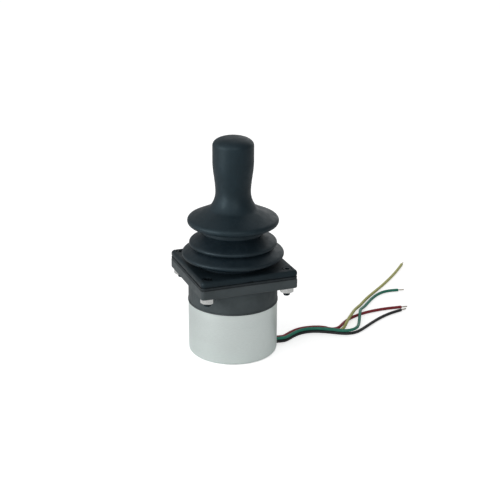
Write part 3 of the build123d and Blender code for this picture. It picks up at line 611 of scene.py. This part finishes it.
def rounding(inset, top, radius, steps=8):
    """Loops of (inset, height) for a rounded top edge."""
    return [(inset + radius * (1 - cos(pi / 2 * k / steps)), top - radius + radius * sin(pi / 2 * k / steps))
            for k in range(steps + 1)]


def access_cut(low, top, radius=ACCESS_RADIUS, edge=0.3):
    """Cutters for the holes over the screws, with an eased upper edge."""
    line = [(radius, low), (radius, top - edge), (radius + edge * 0.3, top - edge * 0.3),
            (radius + edge + 0.05, top + 0.02), (radius + edge + 0.05, top + 1)]
    return [pillar(x, y, line) for x, y in CORNERS]


bezel = square_ring(
    "bezel_frame",
    [(0.8, GASKET_TOP), (0.8, 50.02), (0.5, 50.1), (0.18, 50.22), (0.03, 50.42), (0, 50.6), (0, 51.0)]
    + rounding(0, BEZEL_TOP, 1.7),
    [(22.35, BEZEL_TOP), (22.1, 53.06), (22.0, 52.8), (22.0, 51.7), (24.3, 51.7), (24.3, GASKET_TOP)],
    "bezel_plastic",
)
notch_inner, notch_outer, notch_half, notch_low, notch_top = 26.6, 29, 1.6, 49, 50.7
notches = [block(notch_inner, notch_outer, -notch_half, notch_half, notch_low, notch_top),
           block(-notch_outer, -notch_inner, -notch_half, notch_half, notch_low, notch_top),
           block(-notch_half, notch_half, notch_inner, notch_outer, notch_low, notch_top),
           block(-notch_half, notch_half, -notch_outer, -notch_inner, notch_low, notch_top)]
dressed(cut(bezel, *access_cut(49, BEZEL_TOP), *notches), "bezel_plastic", 38, True)
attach(bezel, "housing")
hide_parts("bezel")

gasket = square_ring(
    "gasket_sheet",
    [(0.8, FLANGE_TOP), (0.8, 48.4), (0.3, 48.5), (0.05, 48.65), (0, 48.8), (0, 49.3), (0.12, 49.5),
     (0.35, GASKET_TOP)],
    [(15.5, GASKET_TOP), (15.5, FLANGE_TOP)], "black_rubber",
)
dressed(cut(gasket, *access_cut(47, GASKET_TOP, edge=0.1)), "black_rubber", 38, True)
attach(gasket, "housing")
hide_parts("gasket")


# Screws with rolled threads and hexagon sockets, and bevelled nuts

def hexagon(flats, angle):
    """Distance from a hexagon's middle to its side, at an angle."""
    return flats / 2 / cos((angle + pi / 6) % (pi / 3) - pi / 6)


def joined(name, groups, slot):
    """One mesh of several groups of points and faces."""
    points, faces = [], []
    for group_points, group_faces in groups:
        base = len(points)
        points += group_points
        faces += [tuple(base + index for index in face) for face in group_faces]
    return made(name, points, faces, slot, 30)


def threaded_screw(x, y, twist, steps=48):
    """A socket screw whose round head stands in the bezel's hole, its tip down."""
    socket_flats, radius_out, pitch, ridge_height, tip_start, tip_end = 2.5, 2.0, 0.7, 0.36, 38.4, 37.7
    line = [(0.02, 51.2, 1), (1.5, 51.2, 1), (1.5, 53.0, 1), (1.56, 53.1, 0), (1.9, 53.15, 0), (2.2, 53.1, 0),
            (2.42, 52.9, 0), (2.5, 52.6, 0), (2.5, 48.0, 0), (3.3, 48.0, 0), (3.4, 47.8, 0), (3.4, 45.3, 0),
            (3.3, 45.2, 0), (2.0, 45.2, 0)]
    points = []
    for radius, z, socket in line:
        for step in range(steps):
            angle = 2 * pi * step / steps
            if socket and radius > 1:
                reach = hexagon(socket_flats, angle) * radius / (socket_flats / 2)
            else:
                reach = radius
            points.append((reach, angle, z))
    z = 45.15
    while z > tip_end:
        for step in range(steps):
            angle = 2 * pi * step / steps
            phase = (z / pitch + angle / (2 * pi)) % 1
            ridge = ridge_height * (1 - abs(2 * phase - 1))
            tip = max(0, tip_start - z) * 0.55
            points.append((radius_out - ridge_height + ridge - tip, angle, z))
        z -= pitch / 10
    rings = len(points) // steps
    faces = turned_faces(rings, steps, False)
    faces += [tuple(range(steps)), tuple(range((rings - 1) * steps, rings * steps))]
    placed = [(x + r * cos(a + twist), y + r * sin(a + twist), height) for r, a, height in points]
    return placed, faces


def bevelled_nut(x, y, twist, low=39.8, high=FLANGE_BOTTOM, steps=96):
    """A hexagon nut with bevelled corners and a countersunk thread."""
    flats, thread_radius, countersink, countersink_depth = 7.0, 2.02, 2.3, 0.3
    bevel_start, bevel_slope = 3.35, 0.58
    angles = [2 * pi * k / steps for k in range(steps)]
    rings = []
    for sign, face in ((1, high), (-1, low)):
        half = [[(radius, angle, height) for angle in angles] for radius, height in
                ((thread_radius, face - sign * countersink_depth), (countersink, face), (3.2, face))]
        rim = [(hexagon(flats, angle), angle) for angle in angles]
        half.append([(out, angle, face - sign * max(0, out - bevel_start) * bevel_slope)
                     for out, angle in rim])
        rings += half[::sign]
    points = [(x + r * cos(a + twist), y + r * sin(a + twist), z) for ring in rings for r, a, z in ring]
    return points, turned_faces(len(rings), steps, True)


screws = joined("socket_screws", [threaded_screw(x, y, 0.4 * x + y) for x, y in CORNERS], "black_steel")
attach(screws, "housing")
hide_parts("mounting_screws")
nuts = joined("hexagon_nuts", [bevelled_nut(x, y, 0.37 * x - 0.21 * y) for x, y in CORNERS], "zinc_steel")
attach(nuts, "housing")
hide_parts("mounting_nuts")


# Centring springs: two bodies hold each spring's tails; each spring keeps its node's own form

def twisting_spring(name, node):
    """The node's own form, copied as it stands, in spring steel."""
    source = frame["nodes"][node]
    points = [tuple(source.matrix_world @ corner.co / MM) for corner in source.data.vertices]
    faces = [tuple(face.vertices) for face in source.data.polygons]
    spring = made(name, points, faces, "spring_steel", edge_angle=30)
    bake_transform(spring)
    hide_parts(node)


twisting_spring("spring_x_coil", "centring_spring_x")
twisting_spring("spring_y_coil", "centring_spring_y")


# Floor, light and background

def studio_floor():
    """A white floor that keeps the contact shadow and otherwise shows as plain white."""
    radius, below, steps = 3, 0.00003, 64
    mesh = bpy.data.meshes.new("floor")
    angles = [2 * pi * k / steps for k in range(steps)]
    mesh.from_pydata([(radius * cos(angle), radius * sin(angle), -below) for angle in angles], [],
                     [tuple(range(steps))])
    floor = bpy.data.objects.new("floor", mesh)
    bpy.context.scene.collection.objects.link(floor)
    material = bpy.data.materials.new("floor_white")
    material.use_nodes = True
    nodes = Nodes(material.node_tree)
    material.node_tree.nodes.clear()
    white = nodes.add("ShaderNodeBsdfDiffuse", {"Color": (0.8, 0.8, 0.8, 1)})
    seen = nodes.add("ShaderNodeLightPath").outputs["Is Camera Ray"]
    glow = nodes.math("MULTIPLY", seen, 0.6)
    lift = nodes.add("ShaderNodeEmission", {"Color": (1, 1, 1, 1), "Strength": glow})
    both = nodes.add("ShaderNodeAddShader", {0: white.outputs[0], 1: lift.outputs[0]})
    nodes.add("ShaderNodeOutputMaterial", {"Surface": both.outputs[0]})
    mesh.materials.append(material)


def studio_world():
    """White for the camera; for the object a soft room that is brighter at the front left."""
    world = bpy.data.worlds.new("studio")
    bpy.context.scene.world = world
    world.use_nodes = True
    nodes = Nodes(world.node_tree)
    world.node_tree.nodes.clear()
    ray = nodes.add("ShaderNodeTexCoord").outputs["Generated"]

    def lobe(direction, low, high, strength):
        aim = nodes.add("ShaderNodeVectorMath", {0: ray, 1: Vector(direction).normalized()},
                        operation="DOT_PRODUCT").outputs["Value"]
        return nodes.spread(aim, low, high, 0.0, strength)

    room = nodes.math("ADD", lobe((-0.946, -0.324, 0.1), -0.2, 1.0, 0.7), 0.27)
    room = nodes.math("ADD", room, lobe((0.6, 0.65, 0.5), 0.55, 1.0, 0.3))
    soft = nodes.add("ShaderNodeBackground", {"Color": (1, 1, 1, 1), "Strength": room})
    plain = nodes.add("ShaderNodeBackground", {"Color": (1, 1, 1, 1), "Strength": 1.0})
    seen = nodes.add("ShaderNodeLightPath").outputs["Is Camera Ray"]
    chosen = nodes.add("ShaderNodeMixShader", {0: seen, 1: soft.outputs[0], 2: plain.outputs[0]})
    nodes.add("ShaderNodeOutputWorld", {"Surface": chosen.outputs[0]})


def softbox(name, place, aim, size, power):
    """A round lamp at a place, turned to an aim, both in metres."""
    data = bpy.data.lights.new(name, "AREA")
    data.shape, data.size, data.energy = "DISK", size, power
    lamp = bpy.data.objects.new(name, data)
    run = Vector(aim) - Vector(place)
    lamp.matrix_world = Matrix.Translation(place) @ run.to_track_quat("-Z", "Y").to_matrix().to_4x4()
    bpy.context.scene.collection.objects.link(lamp)


studio_floor()
studio_world()
softbox("key", (-0.66, -0.14, 0.2), (0, 0, 0.055), 0.4, 2.0)
softbox("back", (0.45, 0.5, 0.3), (0, 0, 0.08), 0.5, 0.35)
softbox("front", (-0.12, -0.72, 0.42), (0, 0, 0.07), 0.35, 0.7)
bpy.context.scene.view_settings.view_transform = "Standard"
